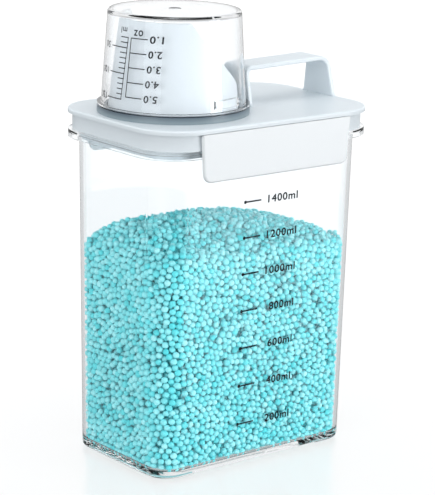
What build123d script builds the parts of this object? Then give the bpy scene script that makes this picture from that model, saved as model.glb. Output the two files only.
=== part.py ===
"""Laundry detergent dispenser.

A clear moulded container holds washing beads. Its white lid is one moulding: a deck with a skirt,
a round pouring spout and a strap handle. Two wide latches hang from the deck's long edges and
hook under the container's rim. The measuring cup stands upside down over the spout as its cap.

Millimetres, +Z up. The origin is on the floor, under the middle of the container. X runs along the
container: the spout is at the -X end and the handle at the +X end. The latches are on -Y and +Y.
"""
import os
from math import cos, hypot, pi, radians, tan

from build123d import *

os.makedirs("parts", exist_ok=True)

# Container
body_length = 129.2        # outside, at the floor
body_depth = 79.6          # outside, at the floor
body_corner = 13.2         # corner radius, at the floor
body_draft = 0.95          # degrees, the walls open upwards
container_height = 175.8   # floor to the top of the rim
wall = 1.9
floor_thickness = 2.2
foot_height = 1.2          # the standing ring under the floor
foot_width = 5.0
arch_margin = 21.6         # end of the container to the arch in the standing ring
bottom_round = 2.4         # outer bottom edge
cavity_round = 3.0         # inner bottom edge
rim_overhang = 5.8         # how far the rim stands out from the walls
rim_web = 2.2              # the rim's flat top
rim_lip_height = 4.2       # the rim's turned-down edge
rim_lip_wall = 1.8

# Detergent beads, as one heap set with coarse lumps for its outermost beads
bead_gap = 0.4             # lumps to walls
bead_level = 111.3         # height along the walls, under the lumps
heap_rise = 20.8           # how far the mound stands above that level
heap_margin = 1.0          # edge of the level part to the foot of the mound
heap_peak_x = -20.0        # the peak lies towards the spout and the far side
heap_peak_y = 8.0
heap_rings = 8             # outlines through which the mound is drawn
mound_uphill = 0.9         # a lump faces out of the slope up to this share of its own outline
lump_height = 1.7
lump_width = 7.8           # across the flats of its foot
lump_root = 1.0            # how deep it is sunk in the heap
lump_sides = 6
lump_taper = 32.0          # degrees
lump_pitch = 10.0          # lump to lump, along a row and from row to row

# Measuring cup and its seal
cup_height = 50.0          # mouth to the outside of its bottom
cup_mouth_radius = 37.9    # outside, at the flange
cup_bottom_radius = 34.7   # outside
cup_wall = 1.5
cup_flange_radius = 39.9
cup_flange_thickness = 1.4
cup_round = 1.5            # outer edge of its bottom
cup_lug_height = 4.2       # two lugs inside the mouth bear on the spout
cup_lug_rise = 2.5         # mouth to the lugs
cup_lug_span = 28.0        # degrees
cup_lug_turn = -77.0       # degrees from +X
cup_lug_gap = 0.3          # lug to spout
cup_gate_radius = 3.25     # moulding mark in the middle of its bottom
cup_gate_depth = 0.4
cup_seal_height = 3.7
cup_seal_gap = 0.15        # ring to spout

# Lid deck, skirt and plug
deck_thickness = 2.4
deck_rise = 11.1           # top of the rim to the top of the deck
deck_end_reach = 0.2       # deck past the rim, at the ends
deck_corner_ease = 3.1     # deck corner radius less the rim's
deck_round = 1.0
skirt_inset = 2.4          # deck edge to skirt
skirt_wall = 1.8
plug_gap = 0.6             # plug to the inside of the container
plug_wall = 1.6
plug_reach = 5.0           # how far the plug goes down into the container

# Lid seal, between the rim's top and a ledge of the lid
seal_width = 3.4
seal_height = 3.2
seal_gap = 0.1             # ring to plug
seal_groove = 0.8

# Spout
cup_margin = 3.7           # end of the deck to the cup's flange
spout_side_gap = 1.9       # inside of the cup to the spout, at the mouth
spout_tip_gap = 4.7        # the same, at the pouring lip
spout_top_gap = 2.6        # inside of the cup's bottom to the pouring lip
spout_low_height = 8.0     # above the deck, on the handle's side
spout_wall = 1.9
spout_lip_length = 18.5    # how far the level lip runs back from its tip
spout_cut_sag = 3.8        # how hollow the slanted cut is

# Strap handle
handle_cup_gap = 1.6       # cup's flange to the near leg
handle_end_margin = 0.6    # end of the deck to the far leg
handle_height = 21.0       # above the deck, at the near leg
handle_climb = 1.4         # how much higher the far end is
handle_lean = 1.9          # how far the far leg leans outwards
handle_thickness = 2.5
handle_top_width = 17.8
handle_foot_width = 24.4
handle_root_flare = 3.0
handle_shoulder = 16.0     # bend radius where the legs narrow to the top
handle_near_bend = 4.0     # outer bend radii
handle_far_bend = 8.0
handle_round = 0.7

# Latches
latch_thickness = 1.8
latch_gap = 0.4            # rim to the latch's back
latch_end_reach = 1.2      # past the straight part of the deck's edge
latch_taper = 1.7          # each side, narrower at the lower edge
latch_tab = 9.6            # below the hook, for the fingers
latch_corner = 5.0
latch_lower_round = 1.1
hinge_gap = 0.3            # deck to latch, across the hinge line
hinge_bevel = 1.3
hook_end_margin = 9.0      # end of the latch to the hook
hook_bite = 1.5            # how far the hook reaches under the rim
hook_height = 2.6
hook_tip = 0.8
hook_gap = 0.3

# Sizes and heights that follow from the ones above
slope = tan(radians(body_draft))
floor_top = foot_height + floor_thickness
heap_inset = wall + bead_gap + lump_height
mouth_length = body_length + 2 * container_height * slope
mouth_depth = body_depth + 2 * container_height * slope
mouth_corner = body_corner + container_height * slope
rim_length = mouth_length + 2 * rim_overhang
rim_depth = mouth_depth + 2 * rim_overhang
deck_length = rim_length + 2 * deck_end_reach
deck_depth = rim_depth + 2 * (latch_gap + latch_thickness)
deck_corner = mouth_corner + rim_overhang + deck_corner_ease
deck_top = container_height + deck_rise
deck_low = deck_top - deck_thickness
spout_x = cup_margin + cup_flange_radius - deck_length / 2
cup_mouth = deck_top + cup_seal_height
spout_base_radius = cup_mouth_radius - cup_wall - spout_side_gap
spout_tip_radius = cup_bottom_radius - cup_wall - spout_tip_gap
spout_height = cup_seal_height + cup_height - cup_wall - spout_top_gap
hinge_level = deck_low - hinge_gap / 2

LOW = (Align.CENTER, Align.CENTER, Align.MIN)


def body_outline(height, offset=0.0):
    """The container's drafted outline at a height, grown by an offset."""
    grow = height * slope + offset
    outline = RectangleRounded(body_length + 2 * grow, body_depth + 2 * grow, body_corner + grow)
    return Pos(0, 0, height) * outline


def body_block(low, high, offset=0.0):
    """A block inside the container's drafted outline, grown by an offset."""
    return extrude(body_outline(low, offset), amount=high - low, taper=-body_draft)


def mouth_block(low, high, offset):
    """An upright block that follows the outline of the container's mouth."""
    outline = RectangleRounded(mouth_length + 2 * offset, mouth_depth + 2 * offset, mouth_corner + offset)
    return extrude(Pos(0, 0, low) * outline, amount=high - low)


def mouth_ring(low, high, outer, inner):
    return mouth_block(low, high, outer) - mouth_block(low, high, inner)


def deck_block(low, high, inset=0.0):
    """An upright block that follows the outline of the lid's deck."""
    outline = RectangleRounded(deck_length - 2 * inset, deck_depth - 2 * inset, deck_corner - inset)
    return extrude(Pos(0, 0, low) * outline, amount=high - low)


def bottom_edges(shape):
    return shape.edges().group_by(Axis.Z)[0]


def top_edges(shape):
    return shape.edges().group_by(Axis.Z)[-1]


def make_container():
    """Thin drafted walls, a standing ring and a rim with a turned-down edge."""
    shell = body_block(0, container_height)
    shell = fillet(bottom_edges(shell), bottom_round)
    shell += mouth_block(container_height - rim_web, container_height, rim_overhang)
    shell += mouth_ring(
        container_height - rim_lip_height, container_height, rim_overhang, rim_overhang - rim_lip_wall
    )
    cavity = body_block(floor_top, container_height + 1, -wall)
    shell -= fillet(bottom_edges(cavity), cavity_round)
    shell -= body_block(0, foot_height, -foot_width)
    arch = Box(body_length - 2 * arch_margin, body_depth + 2, 2 * foot_height)
    arch = chamfer(top_edges(arch).filter_by(Axis.Y), 0.9 * foot_height)
    return shell - arch


def mound_outline(share):
    """The mound's outline, down to a share of its foot. The outlines close in on the peak."""
    grow = bead_level * slope - heap_inset - heap_margin
    outline = Ellipse(share * (body_length / 2 + grow), share * (body_depth / 2 + grow))
    rise = heap_rise * (1 - share**2)
    return Pos((1 - share) * heap_peak_x, (1 - share) * heap_peak_y, bead_level + rise) * outline


def lump_row(outline, above, start):
    """Lumps along an outline, facing out of the surface that climbs to the outline above."""
    radius = lump_width / 2 / cos(pi / lump_sides)
    lump = extrude(RegularPolygon(radius, lump_sides), amount=lump_root + lump_height, taper=lump_taper)
    ring = outline.wire()
    count = round(ring.length / lump_pitch)
    lumps = []
    for k in range(count):
        share = (k + start) / count
        point = ring.position_at(share)
        uphill = above.wire().position_at(share) - point
        place = Plane(origin=point, x_dir=uphill, z_dir=ring.tangent_at(share).cross(uphill))
        lumps.append(place.offset(-lump_root) * lump)
    return lumps


def make_beads():
    """The heap of beads: level along the walls, with a mound on top and staggered rows of lumps."""
    fill = body_block(floor_top, bead_level, -heap_inset)
    fill = fillet(bottom_edges(fill), cavity_round)
    fill += loft([mound_outline(1 - k / heap_rings) for k in range(heap_rings)])
    low = floor_top + cavity_round + lump_width / 2
    high = bead_level - lump_width / 2
    rows = round((high - low) / lump_pitch)
    lumps = []
    for row in range(rows + 1):
        height = low + (high - low) * row / rows
        above = body_outline(height + lump_pitch, -heap_inset)
        lumps += lump_row(body_outline(height, -heap_inset), above, row % 2 / 2)
    rows = round((body_length / 2 - abs(heap_peak_x)) / lump_pitch)
    for row in range(rows):
        share = 1 - (row + 0.5) / rows
        above = mound_outline(mound_uphill * share)
        lumps += lump_row(mound_outline(share), above, row % 2 / 2)
    return fill.fuse(*lumps)


def spout_radius(height):
    """Outer radius of the spout at a height above the deck."""
    return spout_base_radius + (spout_tip_radius - spout_base_radius) * height / spout_height


def spout_cone(inset, low, high):
    """A cone along the spout's outside, made smaller by an inset."""
    cone = Cone(spout_radius(low) - inset, spout_radius(high) - inset, high - low, align=LOW)
    return Pos(spout_x, 0, deck_top + low) * cone


def make_spout():
    """A tapered tube, cut down in a hollow curve from its pouring lip to the handle's side."""
    lip = Vector(spout_x - spout_tip_radius + spout_lip_length, deck_top + spout_height)
    low = Vector(spout_x + spout_base_radius + 1, deck_top + spout_low_height)
    run = low - lip
    length = hypot(run.X, run.Y)
    middle = (lip + low) / 2 + Vector(run.Y, -run.X) * (spout_cut_sag / length)
    above = deck_top + spout_height + 2
    edge = ThreePointArc(lip, middle, low) + Polyline(low, (low.X, above), (lip.X, above), lip)
    cut = extrude(Plane.XZ * make_face(edge), amount=spout_base_radius + 2, both=True)
    return spout_cone(0, -deck_thickness / 2, spout_height) - cut


def make_handle():
    """A strap bent over the fingers, wider at its feet, with the far leg leaning outwards."""
    low = deck_top - deck_thickness / 2
    near = spout_x + cup_flange_radius + handle_cup_gap
    foot = deck_length / 2 - handle_end_margin
    top = deck_top + handle_height
    outside = Polyline(
        (near, low), (near, top), (foot - handle_lean, top + handle_climb), (foot, low), close=True
    )
    near += handle_thickness
    foot -= handle_thickness
    top -= handle_thickness
    inside = Polyline(
        (near, low), (near, top), (foot - handle_lean, top + handle_climb), (foot, low), close=True
    )
    band = bend(make_face(outside), handle_near_bend, handle_far_bend)
    band -= bend(make_face(inside), handle_near_bend - handle_thickness, handle_far_bend - handle_thickness)
    half_top = handle_top_width / 2
    half_foot = handle_foot_width / 2
    flare = handle_root_flare
    peak = deck_top + handle_height + handle_climb + 1
    side = [
        (half_foot + flare, low),
        (half_foot + flare, deck_top),
        (half_foot, deck_top),
        (half_top, deck_top + handle_height - handle_near_bend),
        (half_top, peak),
    ]
    width = make_face(Polyline(*side, *[(-y, z) for y, z in reversed(side)], close=True))
    width = fillet(width.vertices().group_by(Axis.Y)[-2], handle_shoulder)
    width = fillet(width.vertices().group_by(Axis.Y)[1].sort_by(Axis.X)[1:3], 0.9 * flare)
    strap = extrude(Plane.XZ * band, amount=handle_foot_width, both=True)
    strap &= extrude(Plane.YZ * width, amount=deck_length, both=True)
    flanks = strap.faces().filter_by(lambda face: abs(face.normal_at().Y) > 0.5)
    rims = [edge for edge in flanks.edges() if edge.center().Z > deck_top and edge.length > 0.5]
    return fillet(rims, handle_round)


def bend(face, near_radius, far_radius):
    """Round the two upper corners of a handle outline."""
    upper = face.vertices().sort_by(Axis.Y)[-2:].sort_by(Axis.X)
    face = fillet(upper[0], near_radius)
    upper = face.vertices().sort_by(Axis.X)[-2:].sort_by(Axis.Y)
    return fillet(upper[-1], far_radius)


def make_lid():
    """Deck, skirt, plug, seal ledge, spout and handle in one moulding."""
    lid = deck_block(deck_low, deck_top)
    lid = fillet(top_edges(lid), deck_round)
    skirt = deck_block(container_height, deck_low, skirt_inset)
    lid += skirt - deck_block(container_height, deck_low, skirt_inset + skirt_wall)
    plug = -wall - plug_gap
    lid += mouth_ring(container_height - plug_reach, deck_low, plug, plug - plug_wall)
    lid += mouth_ring(container_height + seal_height, deck_low, plug + seal_width, plug)
    lid += make_spout()
    lid += make_handle()
    return lid - spout_cone(spout_wall, -deck_rise, spout_height + 1)


def make_lid_seal():
    """A square ring with a groove round its outside."""
    inner = seal_gap - wall - plug_gap
    outer = seal_width - wall - plug_gap
    low = container_height
    ring = mouth_ring(low, low + seal_height, outer, inner)
    return ring - mouth_ring(low + 0.4 * seal_height, low + 0.6 * seal_height, outer, outer - seal_groove)


def make_latch():
    """A wide flap with a bevelled hinge edge and a long hook, as it hangs on the -Y side."""
    face = -deck_depth / 2
    back = face + latch_thickness
    hook_top = container_height - rim_lip_height - hook_gap
    high = hinge_level - hinge_gap / 2
    low = hook_top - hook_height - latch_tab
    half_top = deck_length / 2 - deck_corner + latch_end_reach
    half_low = half_top - latch_taper
    outline = make_face(
        Polyline((-half_top, high), (-half_low, low), (half_low, low), (half_top, high), close=True)
    )
    outline = fillet(outline.vertices().group_by(Axis.Y)[0], latch_corner)
    flap = Pos(0, face, 0) * extrude(Plane.XZ * outline, amount=-latch_thickness)
    edges = flap.edges().group_by(Axis.Z)[-1].group_by(Axis.Y)[-1]
    flap = chamfer(edges, hinge_bevel)
    edges = flap.edges().group_by(Axis.Y)[0].group_by(Axis.Z)[0]
    flap = fillet(edges, latch_lower_round)
    tip = hook_bite - rim_depth / 2
    hook = Polyline(
        (back - 0.5, hook_top),
        (tip, hook_top),
        (tip, hook_top - hook_tip),
        (back, hook_top - hook_height),
        (back - 0.5, hook_top - hook_height),
        close=True,
    )
    flap += extrude(Plane.YZ * make_face(hook), amount=half_top - hook_end_margin, both=True)
    return flap


def make_cup():
    """A tapered cup, upside down, with a flange round its mouth and two lugs inside."""
    outer = [
        (0, cup_mouth),
        (cup_flange_radius, cup_mouth),
        (cup_flange_radius, cup_mouth + cup_flange_thickness),
        (cup_mouth_radius, cup_mouth + cup_flange_thickness),
        (cup_bottom_radius, cup_mouth + cup_height),
        (0, cup_mouth + cup_height),
    ]
    inner = [
        (0, cup_mouth),
        (cup_mouth_radius - cup_wall, cup_mouth),
        (cup_bottom_radius - cup_wall, cup_mouth + cup_height - cup_wall),
        (0, cup_mouth + cup_height - cup_wall),
    ]
    cup = revolve(Plane.XZ * make_face(Polyline(*outer, close=True)), Axis.Z)
    cup = fillet(top_edges(cup), cup_round)
    hollow = revolve(Plane.XZ * make_face(Polyline(*inner, close=True)), Axis.Z)
    cup -= fillet(top_edges(hollow), cup_round)
    cup -= Pos(0, 0, cup_mouth + cup_height) * Cylinder(cup_gate_radius, 2 * cup_gate_depth)
    low = cup_mouth + cup_lug_rise
    near = spout_radius(low - deck_top) + cup_lug_gap
    far = cup_mouth_radius - cup_wall / 2 - (cup_mouth_radius - cup_bottom_radius) * cup_lug_rise / cup_height
    pad = make_face(
        Polyline((near, low), (far, low), (far, low + cup_lug_height), (near, low + cup_lug_height), close=True)
    )
    lug = revolve(Plane.XZ * pad, Axis.Z, cup_lug_span)
    start = cup_lug_turn - cup_lug_span / 2
    cup += [Rot(0, 0, start) * lug, Rot(0, 0, start + 180) * lug]
    return Pos(spout_x, 0, 0) * cup


def make_cup_seal():
    """A flat ring round the spout's foot, under the cup's flange."""
    ring = Cylinder(cup_flange_radius, cup_seal_height, align=LOW)
    ring -= Cylinder(spout_base_radius + cup_seal_gap, cup_seal_height, align=LOW)
    return Pos(spout_x, 0, deck_top) * ring


front_latch = make_latch()
parts = {
    "container": make_container(),
    "detergent_beads": make_beads(),
    "lid": make_lid(),
    "lid_seal": make_lid_seal(),
    "latch_front": front_latch,
    "latch_rear": mirror(front_latch, about=Plane.XZ),
    "measuring_cup": make_cup(),
    "cup_seal": make_cup_seal(),
}
for name, shape in parts.items():
    shape.label = name
    export_step(shape, f"parts/{name}.step")
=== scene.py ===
"""Looks of the laundry detergent dispenser, piece by piece in the order it is put together. Metres, +Z up."""
import math

import bmesh
import bpy
import numpy as np
from mathutils import Matrix, Vector
from mathutils.kdtree import KDTree


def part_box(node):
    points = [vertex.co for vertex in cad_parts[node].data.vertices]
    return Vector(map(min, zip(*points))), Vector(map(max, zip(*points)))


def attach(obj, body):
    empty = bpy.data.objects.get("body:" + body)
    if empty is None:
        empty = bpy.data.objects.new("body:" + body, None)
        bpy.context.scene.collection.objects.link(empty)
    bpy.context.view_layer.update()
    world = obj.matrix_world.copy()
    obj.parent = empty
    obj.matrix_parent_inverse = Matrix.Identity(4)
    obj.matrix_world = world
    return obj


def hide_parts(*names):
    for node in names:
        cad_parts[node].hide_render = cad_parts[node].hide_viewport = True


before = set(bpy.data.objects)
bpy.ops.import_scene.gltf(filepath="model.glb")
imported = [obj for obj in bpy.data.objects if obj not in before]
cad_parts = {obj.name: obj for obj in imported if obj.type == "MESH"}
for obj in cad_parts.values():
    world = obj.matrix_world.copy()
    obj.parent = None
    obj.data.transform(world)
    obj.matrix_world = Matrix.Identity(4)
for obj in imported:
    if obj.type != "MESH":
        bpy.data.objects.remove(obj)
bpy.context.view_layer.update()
scene = bpy.context.scene
scene.view_settings.view_transform = "Standard"

# Studio camera. A long lens looks down at the near corner from a little above the lid, at the
# photograph's angle, so that the tall sides stay nearly upright.
camera_place = Vector((-0.6960, -0.8612, 0.3896))
camera_turn = math.radians(39.02)
camera_drop = math.radians(14.22)
camera_roll = math.radians(1.28)
camera_lens, camera_sensor = 153.93, 36.0
camera = bpy.data.objects.new("studio_camera", bpy.data.cameras.new("studio_camera"))
scene.collection.objects.link(camera)
camera.matrix_world = (
    Matrix.Translation(camera_place)
    @ Matrix.Rotation(-camera_turn, 4, "Z")
    @ Matrix.Rotation(math.pi / 2 - camera_drop, 4, "X")
    @ Matrix.Rotation(camera_roll, 4, "Z")
)
camera.data.lens = camera_lens
camera.data.sensor_width = camera_sensor
camera.data.clip_start = 0.05
scene.camera = camera

# Studio sweep and lamps. A pale glossy table, clear from below, runs out to a white surround under a
# darker ceiling. Under the container its glow turns turquoise, a painted shade and painted light that
# stand in for light coming through the beads. The lamp low at the right of the camera is the
# strongest, so the front is brighter than the left side. A broad one hangs above.
floor_size = 8.0
floor_colour = (0.22, 0.22, 0.22, 1)
floor_roughness = 0.20
floor_glow = 0.67
# Painted turquoise light and shade on the table under the container's foot.
under_painted_light = (0.40, 0.76, 0.79, 1)
foot_half = (0.060, 0.035, 0)
foot_edge_in, foot_edge_out = -0.004, 0.002
sky_colour = (0.93, 0.97, 1, 1)
sky_light = 0.78
horizon_light = 1.0
ceiling_light = 0.50
ceiling_start, ceiling_end = 0.20, 0.75
bent_light = 0.50
lamp_aim = Vector((0, 0, 0.12))
lamps = {
    "key_lamp": ((0.95, -1.45, 0.20), 0.7, 15.8),
    "fill_lamp": ((-1.45, -0.45, 0.35), 0.8, 7.5),
    "top_lamp": ((-0.15, -0.10, 1.50), 1.4, 5.5),
}
scene.cycles.max_bounces = 24
scene.cycles.glossy_bounces = 16
scene.cycles.transmission_bounces = 24
scene.cycles.transparent_max_bounces = 16


def new_material(name):
    """An empty material, with its nodes and its links."""
    material = bpy.data.materials.new(name)
    material.use_nodes = True
    material.node_tree.nodes.clear()
    return material, material.node_tree.nodes, material.node_tree.links


def worked_out(nodes, links, operation, first, second, third=None):
    """The result of one sum on values or sockets."""
    node = nodes.new("ShaderNodeMath")
    node.operation = operation
    for socket, given in zip(node.inputs, (first, second, third)):
        if isinstance(given, bpy.types.NodeSocket):
            links.new(given, socket)
        elif given is not None:
            socket.default_value = given
    return node.outputs[0]


def seen_share(nodes, links, *kinds):
    """1 for rays of the given kinds and for those through clear plastic, or bent_light where the latter
    also glanced off something. 0 for the rays that light the object."""
    path = nodes.new("ShaderNodeLightPath")
    glanced = worked_out(nodes, links, "MINIMUM", path.outputs["Glossy Depth"], 1)
    share = worked_out(nodes, links, "MULTIPLY_ADD", glanced, bent_light - 1, 1)
    share = worked_out(nodes, links, "MULTIPLY", share, path.outputs["Is Transmission Ray"])
    for kind in kinds:
        share = worked_out(nodes, links, "MAXIMUM", share, path.outputs[kind])
    return share


world = bpy.data.worlds.new("white_surround")
scene.world = world
world.use_nodes = True
nodes, links = world.node_tree.nodes, world.node_tree.links
nodes.clear()
lighting = nodes.new("ShaderNodeBackground")
lighting.inputs["Strength"].default_value = sky_light
lighting.inputs["Color"].default_value = sky_colour
path = nodes.new("ShaderNodeLightPath")
direction = nodes.new("ShaderNodeSeparateXYZ")
links.new(nodes.new("ShaderNodeTexCoord").outputs["Generated"], direction.inputs[0])
ceiling = nodes.new("ShaderNodeMapRange")
ceiling.interpolation_type = "SMOOTHSTEP"
ceiling.inputs["From Min"].default_value = ceiling_start
ceiling.inputs["From Max"].default_value = ceiling_end
ceiling.inputs["To Min"].default_value = horizon_light
ceiling.inputs["To Max"].default_value = ceiling_light
links.new(direction.outputs["Z"], ceiling.inputs["Value"])
shade = worked_out(nodes, links, "MAXIMUM", ceiling.outputs[0], path.outputs["Is Camera Ray"])
surround = nodes.new("ShaderNodeBackground")
surround.inputs["Color"].default_value = (1, 1, 1, 1)
links.new(shade, surround.inputs["Strength"])
shown = nodes.new("ShaderNodeMixShader")
links.new(seen_share(nodes, links, "Is Camera Ray", "Is Glossy Ray"), shown.inputs[0])
links.new(lighting.outputs[0], shown.inputs[1])
links.new(surround.outputs[0], shown.inputs[2])
links.new(shown.outputs[0], nodes.new("ShaderNodeOutputWorld").inputs["Surface"])

table_bm = bmesh.new()
bmesh.ops.create_grid(table_bm, x_segments=1, y_segments=1, size=floor_size / 2)
table_mesh = bpy.data.meshes.new("studio_floor")
table_bm.to_mesh(table_mesh)
table_bm.free()
floor = bpy.data.objects.new("studio_floor", table_mesh)
scene.collection.objects.link(floor)
material, nodes, links = new_material("pale_table")
floor_shader = nodes.new("ShaderNodeBsdfPrincipled")
floor_shader.inputs["Base Color"].default_value = floor_colour
floor_shader.inputs["Roughness"].default_value = floor_roughness
place = nodes.new("ShaderNodeTexCoord").outputs["Object"]
apart = nodes.new("ShaderNodeVectorMath")
apart.operation = "ABSOLUTE"
links.new(place, apart.inputs[0])
outside = nodes.new("ShaderNodeVectorMath")
outside.operation = "SUBTRACT"
links.new(apart.outputs[0], outside.inputs[0])
outside.inputs[1].default_value = foot_half
sides = nodes.new("ShaderNodeSeparateXYZ")
links.new(outside.outputs[0], sides.inputs[0])
clear_of_foot = nodes.new("ShaderNodeMapRange")
clear_of_foot.interpolation_type = "SMOOTHSTEP"
clear_of_foot.inputs["From Min"].default_value = foot_edge_in
clear_of_foot.inputs["From Max"].default_value = foot_edge_out
past_foot = worked_out(nodes, links, "MAXIMUM", sides.outputs["X"], sides.outputs["Y"])
links.new(past_foot, clear_of_foot.inputs["Value"])
# A colour Mix node's two colours are its inputs 6 and 7, and its result is output 2.
glow_colour = nodes.new("ShaderNodeMix")
glow_colour.data_type = "RGBA"
glow_colour.inputs[6].default_value = under_painted_light
glow_colour.inputs[7].default_value = (1, 1, 1, 1)
links.new(clear_of_foot.outputs[0], glow_colour.inputs[0])
links.new(glow_colour.outputs[2], floor_shader.inputs["Emission Color"])
glow = worked_out(nodes, links, "MULTIPLY", seen_share(nodes, links, "Is Camera Ray"), floor_glow)
links.new(glow, floor_shader.inputs["Emission Strength"])
from_below = nodes.new("ShaderNodeMixShader")
links.new(nodes.new("ShaderNodeNewGeometry").outputs["Backfacing"], from_below.inputs[0])
links.new(floor_shader.outputs[0], from_below.inputs[1])
links.new(nodes.new("ShaderNodeBsdfTransparent").outputs[0], from_below.inputs[2])
links.new(from_below.outputs[0], nodes.new("ShaderNodeOutputMaterial").inputs["Surface"])
table_mesh.materials.append(material)

for name, (place, size, watts) in lamps.items():
    lamp = bpy.data.lights.new(name, "AREA")
    lamp.size = size
    lamp.energy = watts
    holder = bpy.data.objects.new(name, lamp)
    scene.collection.objects.link(holder)
    holder.visible_transmission = False
    aim = lamp_aim - Vector(place)
    holder.matrix_world = Matrix.Translation(place) @ aim.to_track_quat("-Z", "Y").to_matrix().to_4x4()

# Container. One clear, drafted moulding with a rim whose edge turns down. The mould's polish leaves
# slow waves in the walls, and handling leaves them a little hazy.
container_tint = (0.950, 0.970, 0.982, 1)
container_wave = 0.2
plastic_shine = (0.35, 0.38, 0.40, 1)
plastic_ior = 1.49
slow_waves, fine_grain, patches = 30.0, 900.0, 55.0
wave_detail, grain_detail, patch_detail = 1.0, 2.0, 4.0


def moulded_surface():
    """Slow waves and a fine grain, as one height, and a patchy value from 0 to 1 for the gloss."""
    group = bpy.data.node_groups.new("moulded_surface", "ShaderNodeTree")
    values = {"Wave Scale": slow_waves, "Wave": 1.0, "Grain Scale": fine_grain, "Grain": 1.0}
    for name, value in values.items():
        socket = group.interface.new_socket(name, in_out="INPUT", socket_type="NodeSocketFloat")
        socket.default_value = value
    for name in ("Height", "Patch"):
        group.interface.new_socket(name, in_out="OUTPUT", socket_type="NodeSocketFloat")
    nodes, links = group.nodes, group.links
    given = nodes.new("NodeGroupInput")
    made = nodes.new("NodeGroupOutput")
    place = nodes.new("ShaderNodeTexCoord")
    parts = []
    for scale, share, detail in (("Wave Scale", "Wave", wave_detail), ("Grain Scale", "Grain", grain_detail)):
        noise = nodes.new("ShaderNodeTexNoise")
        noise.inputs["Detail"].default_value = detail
        links.new(place.outputs["Object"], noise.inputs["Vector"])
        links.new(given.outputs[scale], noise.inputs["Scale"])
        part = nodes.new("ShaderNodeMath")
        part.operation = "MULTIPLY"
        links.new(noise.outputs["Fac"], part.inputs[0])
        links.new(given.outputs[share], part.inputs[1])
        parts.append(part)
    total = nodes.new("ShaderNodeMath")
    total.operation = "ADD"
    links.new(parts[0].outputs[0], total.inputs[0])
    links.new(parts[1].outputs[0], total.inputs[1])
    links.new(total.outputs[0], made.inputs["Height"])
    patch = nodes.new("ShaderNodeTexNoise")
    patch.inputs["Scale"].default_value = patches
    patch.inputs["Detail"].default_value = patch_detail
    links.new(place.outputs["Object"], patch.inputs["Vector"])
    links.new(patch.outputs["Fac"], made.inputs["Patch"])
    return group


surface_group = moulded_surface()


def add_surface(nodes, links, shader, wave, grain, depth, rough_low, rough_high, wave_scale=slow_waves):
    """Gives a shader the moulded surface's bump and its patchy gloss."""
    surface = nodes.new("ShaderNodeGroup")
    surface.node_tree = surface_group
    surface.inputs["Wave Scale"].default_value = wave_scale
    surface.inputs["Wave"].default_value = wave
    surface.inputs["Grain"].default_value = grain
    bump = nodes.new("ShaderNodeBump")
    bump.inputs["Distance"].default_value = depth
    links.new(surface.outputs["Height"], bump.inputs["Height"])
    links.new(bump.outputs[0], shader.inputs["Normal"])
    gloss = nodes.new("ShaderNodeMapRange")
    gloss.inputs["To Min"].default_value = rough_low
    gloss.inputs["To Max"].default_value = rough_high
    links.new(surface.outputs["Patch"], gloss.inputs["Value"])
    links.new(gloss.outputs[0], shader.inputs["Roughness"])


def clear_plastic(name, tint, wave):
    """Clear moulded plastic that lets the lamps' light through to what is behind it."""
    material, nodes, links = new_material(name)
    shader = nodes.new("ShaderNodeBsdfPrincipled")
    shader.inputs["Base Color"].default_value = tint
    shader.inputs["Transmission Weight"].default_value = 1.0
    shader.inputs["IOR"].default_value = plastic_ior
    shader.inputs["Specular Tint"].default_value = plastic_shine
    add_surface(nodes, links, shader, wave, grain=0.0, depth=0.0005, rough_low=0.0, rough_high=0.03)
    lit_through = nodes.new("ShaderNodeBsdfTransparent")
    lit_through.inputs["Color"].default_value = tint
    path = nodes.new("ShaderNodeLightPath")
    either = nodes.new("ShaderNodeMixShader")
    links.new(path.outputs["Is Shadow Ray"], either.inputs[0])
    links.new(shader.outputs[0], either.inputs[1])
    links.new(lit_through.outputs[0], either.inputs[2])
    links.new(either.outputs[0], nodes.new("ShaderNodeOutputMaterial").inputs["Surface"])
    return material


def finish_node(name, material):
    """Puts a material on a piece that keeps its CAD shape."""
    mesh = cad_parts[name].data
    mesh.materials.clear()
    mesh.materials.append(material)


finish_node("container", clear_plastic("clear_container", container_tint, container_wave))

# Scale on the container. Black ink, printed on the front wall: seven ticks with a dot at their left
# end, one for every 200 millilitres, each with its number.
body_half = np.array([0.0646, 0.0398])
body_corner = 0.0132
body_slope = math.tan(math.radians(0.95))
ink_colour = (0.010, 0.013, 0.018, 1)
ink_sheen = 0.1
ink_height = 0.00004
tick_left, tick_length, tick_width = -0.0144, 0.0107, 0.00085
dot_radius, dot_sides = 0.00095, 12
number_right, number_height, number_pitch, number_bold = 0.0213, 0.0043, 0.0034, 0.024
tick_levels = {
    200: 0.0225, 400: 0.0438, 600: 0.0647, 800: 0.0851, 1000: 0.1052, 1200: 0.1248, 1400: 0.1440,
}
curve_steps, letter_spacing = 4, 1.12
same_point = 1e-5
sharpest_corner = 0.6
bar_piece = 0.002


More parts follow.
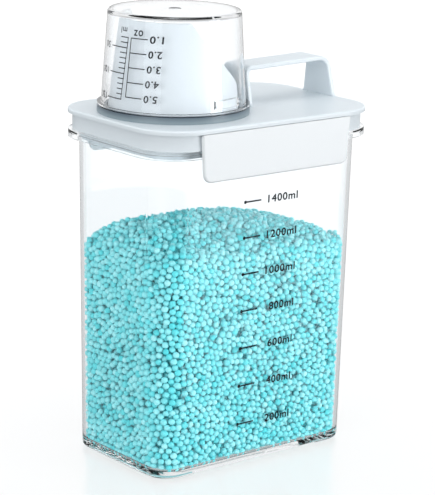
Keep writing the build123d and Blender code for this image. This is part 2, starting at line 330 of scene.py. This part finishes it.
def add_letters(bm, words, height, length, place, bold):
    """Flat letters of a given height and length, with their middle at a place in the print's plane.
    Bold is how far their outline is first moved outward, as a share of the font's size."""
    curve = bpy.data.curves.new("letters", "FONT")
    curve.body = words
    curve.resolution_u = curve_steps
    curve.space_character = letter_spacing
    text = bpy.data.objects.new("letters", curve)
    scene.collection.objects.link(text)
    bpy.context.view_layer.update()
    drawn = text.evaluated_get(bpy.context.evaluated_depsgraph_get())
    mesh = bpy.data.meshes.new_from_object(drawn)
    bpy.data.objects.remove(text)
    letters = bmesh.new()
    letters.from_mesh(mesh)
    bmesh.ops.remove_doubles(letters, verts=letters.verts, dist=same_point)
    outward = {vertex: Vector() for vertex in letters.verts}
    for edge in letters.edges:
        if edge.is_boundary:
            start, end = (vertex.co for vertex in edge.verts)
            out = Vector((end.y - start.y, start.x - end.x, 0)).normalized()
            if out.dot(edge.link_faces[0].calc_center_median() - start) > 0:
                out.negate()
            for vertex in edge.verts:
                outward[vertex] += out
    for vertex, out in outward.items():
        vertex.co += out * bold / max(out.length_squared / 2, sharpest_corner)
    letters.to_mesh(mesh)
    letters.free()
    spread = np.array([v.co for v in mesh.vertices])
    low, high = spread.min(axis=0), spread.max(axis=0)
    mesh.transform(Matrix.Translation((-(low[0] + high[0]) / 2, -(low[1] + high[1]) / 2, 0)))
    mesh.transform(Matrix.Diagonal((length / (high[0] - low[0]), height / (high[1] - low[1]), 1, 1)))
    mesh.transform(place)
    bm.from_mesh(mesh)
    bpy.data.meshes.remove(mesh)


def add_bar(bm, left, right, low, high):
    """Adds a flat rectangle in the print's plane."""
    middle = Matrix.Translation(((left + right) / 2, (low + high) / 2, 0))
    bmesh.ops.create_grid(
        bm, x_segments=max(1, round((right - left) / bar_piece)), y_segments=1, size=0.5,
        matrix=middle @ Matrix.Diagonal((right - left, high - low, 1, 1)),
    )


def new_piece(name, bm, material, body, smooth=False):
    """Turns a bmesh into a piece of the object that rides on a body."""
    mesh = bpy.data.meshes.new(name)
    bm.to_mesh(mesh)
    bm.free()
    mesh.polygons.foreach_set("use_smooth", [smooth] * len(mesh.polygons))
    mesh.materials.append(material)
    piece = bpy.data.objects.new(name, mesh)
    scene.collection.objects.link(piece)
    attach(piece, body)
    return piece


ink, nodes, links = new_material("black_ink")
ink_shader = nodes.new("ShaderNodeBsdfPrincipled")
ink_shader.inputs["Base Color"].default_value = ink_colour
ink_shader.inputs["Specular IOR Level"].default_value = ink_sheen
add_surface(nodes, links, ink_shader, wave=0.0, grain=1.0, depth=0.00002, rough_low=0.35, rough_high=0.6)
links.new(ink_shader.outputs[0], nodes.new("ShaderNodeOutputMaterial").inputs["Surface"])

scale_bm = bmesh.new()
for millilitres, level in tick_levels.items():
    add_bar(scale_bm, tick_left, tick_left + tick_length, level - tick_width / 2, level + tick_width / 2)
    dot_place = Matrix.Translation((tick_left, level, 0))
    bmesh.ops.create_circle(scale_bm, cap_ends=True, segments=dot_sides, radius=dot_radius, matrix=dot_place)
    words = f"{millilitres}ml"
    length = number_pitch * len(words)
    place = Matrix.Translation((number_right - length / 2, level, 0))
    add_letters(scale_bm, words, number_height, length, place, number_bold)
for vertex in scale_bm.verts:
    x, z = vertex.co.x, vertex.co.y
    vertex.co = (x, -(body_half[1] + z * body_slope + ink_height), z)
new_piece("container_scale", scale_bm, ink, "container_and_lid")

# Detergent beads. Waxy turquoise beads of about 3.5 mm lie loose in the container. Those that show,
# against the walls, on the floor and over the mound, are single beads. Behind them is one core, darker
# than the beads as painted shade in the gaps between them.
bead_dark, bead_pale = (0.09, 0.75, 0.80, 1), (0.45, 0.95, 0.98, 1)
bead_sheen = 0.25
bead_radius = 0.00175
bead_spread = 0.00013
bead_limit = 0.0003
bead_squash, bead_stretch = 0.94, 1.03
bead_count = 9600
bead_groups = 6
tone_evenness = 2
bead_layer = 0.0034
fine_depth = 0.0014
bead_gap = 0.0002
wall_thickness = 0.0019
floor_top = 0.0034
mound_level = 0.1158
mound_rise = 0.0143
mound_squareness = 6
mound_peak = np.array([-0.0335, 0.0095])
mound_inset = 0.0022
mound_half = body_half + mound_level * body_slope - mound_inset
mound_unevenness = 0.0026
turns = 9
steps = 6
neighbours = 15
push_share = 0.45
guesses_each = 20
# The core stands for the beads within; its darker colour is painted shade in the gaps between beads.
core_shaded_colour = (0.02, 0.60, 0.66, 1)
core_depth, core_corner, core_cuts = 0.0052, 0.006, (18, 12)

chance = np.random.default_rng(11)


def mound_top(spots):
    """Height of the mound's surface at each spot. Its level lines close in on an off-centre peak."""
    away = spots[:, :2] - mound_peak
    reach = mound_half - np.sign(away) * mound_peak
    share = ((np.abs(away) / reach) ** mound_squareness).sum(axis=1) ** (1 / mound_squareness)
    return mound_level + mound_rise * np.clip(1 - share**2, 0, None)


def depths_and_ways_out(spots):
    """How deep the spots lie under the walls, the floor and the mound's surface, and the ways out."""
    past = np.abs(spots[:, :2]) - (body_half - body_corner)
    widest = past.max(axis=1, keepdims=True)
    in_corner = (past > 0).all(axis=1, keepdims=True)
    aside = np.where(in_corner, past, past == widest)
    aside = aside / np.linalg.norm(aside, axis=1, keepdims=True) * np.sign(spots[:, :2])
    reach = np.where(in_corner, np.linalg.norm(past, axis=1, keepdims=True), widest)[:, 0]
    corner = body_corner + spots[:, 2] * body_slope - wall_thickness - bead_gap
    top = mound_top(spots)
    step = 0.0002
    tilt = [(mound_top(spots + np.array(way) * step) - top) / step for way in ((1, 0, 0), (0, 1, 0))]
    up = np.column_stack([-tilt[0], -tilt[1], np.ones(len(spots))])
    steepness = np.linalg.norm(up, axis=1)
    down = np.tile([0.0, 0.0, -1.0], (len(spots), 1))
    depths = np.column_stack([corner - reach, spots[:, 2] - floor_top, (top - spots[:, 2]) / steepness])
    outward = np.column_stack([aside, np.zeros(len(spots))])
    ways = np.stack([outward, down, up / steepness[:, None]], axis=1)
    return depths, ways


def keep_in_layer(spots, radii, settled):
    """Moves beads off the walls, the floor and the mound's surface, and up into the outer layer."""
    for _ in range(2):
        depths, ways = depths_and_ways_out(spots)
        depths[:, 2] -= settled
        spots = spots - (np.clip(radii[:, None] - depths, 0, None)[..., None] * ways).sum(axis=1)
    depths, ways = depths_and_ways_out(spots)
    every = np.arange(len(spots))
    nearest = depths.argmin(axis=1)
    deep = np.clip(depths[every, nearest] - radii - bead_layer, 0, None)
    return spots + deep[:, None] * ways[every, nearest]


def scatter_beads():
    """Beads at random places in the layer, pushed apart until they hardly overlap."""
    radii = chance.normal(bead_radius, bead_spread, bead_count)
    radii = radii.clip(bead_radius - bead_limit, bead_radius + bead_limit)
    settled = chance.uniform(0, mound_unevenness, bead_count)
    low = np.array([-body_half[0], -body_half[1], floor_top])
    high = np.array([body_half[0], body_half[1], mound_level + mound_rise])
    guesses = chance.uniform(low, high, (guesses_each * bead_count, 3))
    depth = depths_and_ways_out(guesses)[0].min(axis=1)
    spots = guesses[(depth > bead_radius) & (depth < bead_radius + bead_layer)][:bead_count]
    for _ in range(turns):
        tree = KDTree(bead_count)
        for i, spot in enumerate(spots):
            tree.insert(spot, i)
        tree.balance()
        near = np.array([[found[1] for found in tree.find_n(spot, neighbours)[1:]] for spot in spots])
        for _ in range(steps):
            away = spots[:, None] - spots[near]
            span = np.maximum(np.linalg.norm(away, axis=2), 1e-6)
            overlap = np.clip(radii[:, None] + radii[near] - span, 0, None)
            spots = spots + push_share * (away * (overlap / span)[..., None]).sum(axis=1)
            spots = keep_in_layer(spots, radii, settled)
    return spots, radii


bead_spots, bead_radii = scatter_beads()
bead_depths = depths_and_ways_out(bead_spots)[0].min(axis=1) - bead_radii

beads_material, nodes, links = new_material("waxy_beads")
bead_shader = nodes.new("ShaderNodeBsdfPrincipled")
tone = nodes.new("ShaderNodeAttribute")
tone.attribute_name = "bead_tone"
colours = nodes.new("ShaderNodeValToRGB")
colours.color_ramp.elements[0].color = bead_dark
colours.color_ramp.elements[1].color = bead_pale
links.new(tone.outputs["Fac"], colours.inputs["Fac"])
links.new(colours.outputs["Color"], bead_shader.inputs["Base Color"])
bead_shader.inputs["Specular IOR Level"].default_value = bead_sheen
add_surface(
    nodes, links, bead_shader,
    wave=1.0, grain=0.5, depth=0.0002, rough_low=0.35, rough_high=0.6, wave_scale=500.0,
)
links.new(bead_shader.outputs[0], nodes.new("ShaderNodeOutputMaterial").inputs["Surface"])


def one_bead(fineness):
    """A ball of radius 1, as a mesh to copy, and its corners."""
    bm = bmesh.new()
    bmesh.ops.create_icosphere(bm, subdivisions=fineness, radius=1.0)
    mesh = bpy.data.meshes.new("one_bead")
    bm.to_mesh(mesh)
    bm.free()
    return mesh, np.array([v.co for v in mesh.vertices])


fine_bead = one_bead(fineness=2)
plain_bead = one_bead(fineness=1)


def make_beads(name, chosen):
    """One piece of many beads, each turned and pressed a little out of round."""
    bm = bmesh.new()
    corners, tones = [], []
    near = bead_depths[chosen] < fine_depth
    for (mesh, shape), some in ((fine_bead, chosen[near]), (plain_bead, chosen[~near])):
        for _ in some:
            bm.from_mesh(mesh)
        turned, _ = np.linalg.qr(chance.normal(size=(len(some), 3, 3)))
        press = chance.uniform(bead_squash, bead_stretch, (len(some), 1, 3))
        placed = (shape[None] * press) @ turned * bead_radii[some][:, None, None]
        placed = placed + bead_spots[some][:, None]
        corners.append(placed.reshape(-1, 3))
        tones.append(np.repeat(chance.beta(tone_evenness, tone_evenness, len(some)), len(shape)))
    piece = new_piece(name, bm, beads_material, "container_and_lid", smooth=True)
    piece.data.vertices.foreach_set("co", np.concatenate(corners).astype(np.float32).ravel())
    shade = piece.data.attributes.new("bead_tone", "FLOAT", "POINT")
    shade.data.foreach_set("value", np.concatenate(tones).astype(np.float32))
    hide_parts("detergent_beads")


angle = np.arctan2(bead_spots[:, 1] * body_half[0] / body_half[1], bead_spots[:, 0])
sector = np.floor((angle + math.pi) / (2 * math.pi) * bead_groups).astype(int).clip(0, bead_groups - 1)
for number in range(bead_groups):
    make_beads(f"beads_{number + 1}", np.flatnonzero(sector == number))

core_material, nodes, links = new_material("bead_core")
core_shader = nodes.new("ShaderNodeBsdfPrincipled")
core_shader.inputs["Base Color"].default_value = core_shaded_colour
add_surface(
    nodes, links, core_shader,
    wave=1.0, grain=0.5, depth=0.001, rough_low=0.5, rough_high=0.7, wave_scale=400.0,
)
links.new(core_shader.outputs[0], nodes.new("ShaderNodeOutputMaterial").inputs["Surface"])
core_half = body_half - wall_thickness - core_depth
core_bm = bmesh.new()
core_sides = Matrix.Diagonal((2 * core_half[0], 2 * core_half[1], 1, 1))
bmesh.ops.create_cube(core_bm, size=1, matrix=core_sides)
upright = [edge for edge in core_bm.edges if edge.verts[0].co.z * edge.verts[1].co.z < 0]
bmesh.ops.bevel(
    core_bm, geom=upright, offset=core_corner, affect="EDGES", segments=3, profile=0.5, material=-1
)
for axis, count in enumerate(core_cuts):
    normal = Vector((axis == 0, axis == 1, 0))
    for k in range(1, count):
        place = normal * (2 * k / count - 1) * core_half[axis]
        everything = core_bm.verts[:] + core_bm.edges[:] + core_bm.faces[:]
        bmesh.ops.bisect_plane(core_bm, geom=everything, plane_co=place, plane_no=normal)
tops = mound_top(np.array([v.co for v in core_bm.verts])) - core_depth
for vertex, top in zip(core_bm.verts, tops):
    vertex.co.z = top if vertex.co.z > 0 else floor_top + core_depth
core = new_piece("beads_core", core_bm, core_material, "container_and_lid")
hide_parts("detergent_beads")

# Lid. One white moulding of deck, skirt, plug, pouring spout and strap handle, with a soft satin
# surface from a lightly blasted mould.
# The lid's colour is the latches' white made darker and bluer, as painted shade.
lid_white_shaded = (0.755, 0.81, 0.845, 1)
lid_ior = 1.46


def white_plastic(name, colour):
    """White moulded plastic with a satin surface."""
    material, nodes, links = new_material(name)
    shader = nodes.new("ShaderNodeBsdfPrincipled")
    shader.inputs["Base Color"].default_value = colour
    shader.inputs["IOR"].default_value = lid_ior
    add_surface(nodes, links, shader, wave=0.6, grain=0.12, depth=0.0003, rough_low=0.30, rough_high=0.42)
    links.new(shader.outputs[0], nodes.new("ShaderNodeOutputMaterial").inputs["Surface"])
    return material


finish_node("lid", white_plastic("white_lid", lid_white_shaded))

# Lid seal. A ring of clear silicone, moulded by itself and pushed on round the lid's plug. Closing
# the latches squeezes it between the rim and a ledge under the deck.
seal_pale = (0.80, 0.84, 0.86, 1)
seal_material, nodes, links = new_material("clear_silicone")
seal_shader = nodes.new("ShaderNodeBsdfPrincipled")
seal_shader.inputs["Base Color"].default_value = seal_pale
add_surface(nodes, links, seal_shader, wave=0.3, grain=0.4, depth=0.0002, rough_low=0.45, rough_high=0.6)
links.new(seal_shader.outputs[0], nodes.new("ShaderNodeOutputMaterial").inputs["Surface"])
finish_node("lid_seal", seal_material)

# Latches. Two wide flaps of the lid's own white plastic, in its plain white, while the lid's is a painted
# shade darker. Each hangs from a long edge of the deck, where it turns, and its hook catches under the rim.
latch_white = (0.86, 0.885, 0.90, 1)
latch_material = white_plastic("white_latch", latch_white)
finish_node("latch_front", latch_material)
finish_node("latch_rear", latch_material)

# Cup seal. A flat ring of grey silicone round the spout's foot, under the cup's flange. Its colour
# darkens towards its upper edge, as painted shade under the flange.
# ring_shade is painted shade: from shade_start up, the grey darkens to it at the ring's top.
ring_grey, ring_shade = (0.23, 0.29, 0.32, 1), (0.09, 0.125, 0.16, 1)
shade_start = 0.25
ring_material, nodes, links = new_material("grey_silicone")
ring_shader = nodes.new("ShaderNodeBsdfPrincipled")
ring_low, ring_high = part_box("cup_seal")
ring_place = nodes.new("ShaderNodeSeparateXYZ")
links.new(nodes.new("ShaderNodeTexCoord").outputs["Object"], ring_place.inputs[0])
ring_level = nodes.new("ShaderNodeMapRange")
ring_level.inputs["From Min"].default_value = ring_low[2]
ring_level.inputs["From Max"].default_value = ring_high[2]
links.new(ring_place.outputs["Z"], ring_level.inputs["Value"])
ring_colours = nodes.new("ShaderNodeValToRGB")
ring_colours.color_ramp.elements[0].color = ring_grey
ring_colours.color_ramp.elements[0].position = shade_start
ring_colours.color_ramp.elements[1].color = ring_shade
links.new(ring_level.outputs[0], ring_colours.inputs["Fac"])
links.new(ring_colours.outputs["Color"], ring_shader.inputs["Base Color"])
add_surface(nodes, links, ring_shader, wave=0.3, grain=0.3, depth=0.0002, rough_low=0.3, rough_high=0.45)
links.new(ring_shader.outputs[0], nodes.new("ShaderNodeOutputMaterial").inputs["Surface"])
finish_node("cup_seal", ring_material)

# Measuring cup. One clear moulding that stands upside down over the spout, with its flange on the
# grey seal. The plastic came into the mould at the round mark in the middle of its bottom.
cup_tint = (0.962, 0.974, 0.985, 1)
cup_wave = 0.1
finish_node("measuring_cup", clear_plastic("clear_cup", cup_tint, cup_wave))

# Scales on the cup. Black ink on its outside, upside down while the cup is a cap: fluid ounces to
# the right of an upright line, and millilitres to the left of another.
cup_low, cup_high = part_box("measuring_cup")
cup_axis = (cup_low[0] + cup_high[0]) / 2
cup_mouth_radius, cup_bottom_radius = 0.0379, 0.0347
ink_turn = math.radians(-165.5)
ink_lean = math.radians(0.09) / 0.001
ink_top = 0.2289
ounce_count, ounce_step, ounce_tick, ounce_middle = 5, 0.00752, 0.0097, 0.0145
ounce_height, ounce_length, ounce_bold = 0.0038, 0.0073, 0.022
small_count, small_step, small_tick, long_tick, small_gap = 13, 0.00264, 0.0071, 0.0145, 0.0022
small_first, small_worth, numbered_every = 30, 10, 50
small_height, small_length, small_bold = 0.0034, 0.0026, 0.012
line_width = 0.00050
small_left, small_spread = -0.0020, -0.0013
unit_height = 0.0031
units = {"ml": (-0.0053, 0.2324, 0.0042), "oz": (0.0041, 0.2318, 0.0054)}

cup_bm = bmesh.new()
upside_down = Matrix.Rotation(math.pi, 4, "Z")
ounce_low = ink_top - (ounce_count - 1) * ounce_step
half_line = line_width / 2
add_bar(cup_bm, -half_line, half_line, ounce_low - half_line, ink_top + half_line)
for ounces in range(ounce_count):
    level = ink_top - ounces * ounce_step
    add_bar(cup_bm, 0, ounce_tick, level - half_line, level + half_line)
    place = Matrix.Translation((ounce_middle, level, 0)) @ upside_down
    add_letters(cup_bm, f"{ounces + 1}.0", ounce_height, ounce_length, place, ounce_bold)
for tick in range(small_count):
    level = ink_top - tick * small_step
    start = small_left + small_spread * tick / (small_count - 1)
    millilitres = small_first + small_worth * tick
    far = small_tick
    if millilitres % numbered_every == 0:
        far = long_tick
        words = str(millilitres)
        length = small_length * len(words)
        place = Matrix.Translation((-long_tick - small_gap - length / 2, level, 0)) @ upside_down
        add_letters(cup_bm, words, small_height, length, place, small_bold)
    add_bar(cup_bm, -far, start, level - half_line, level + half_line)
    if tick < small_count - 1:
        bottom = level - small_step - half_line
        add_bar(cup_bm, start - half_line, start + half_line, bottom, level + half_line)
for words, (across, level, length) in units.items():
    place = Matrix.Translation((across, level, 0)) @ upside_down
    add_letters(cup_bm, words, unit_height, length, place, small_bold)
for vertex in cup_bm.verts:
    across, z = vertex.co.x, vertex.co.y
    share = (z - cup_low[2]) / (cup_high[2] - cup_low[2])
    radius = cup_mouth_radius + (cup_bottom_radius - cup_mouth_radius) * share + ink_height
    turn = ink_turn + ink_lean * (z - ink_top) + across / radius
    vertex.co = (cup_axis + radius * math.cos(turn), radius * math.sin(turn), z)
new_piece("cup_scale", cup_bm, ink, "cup")
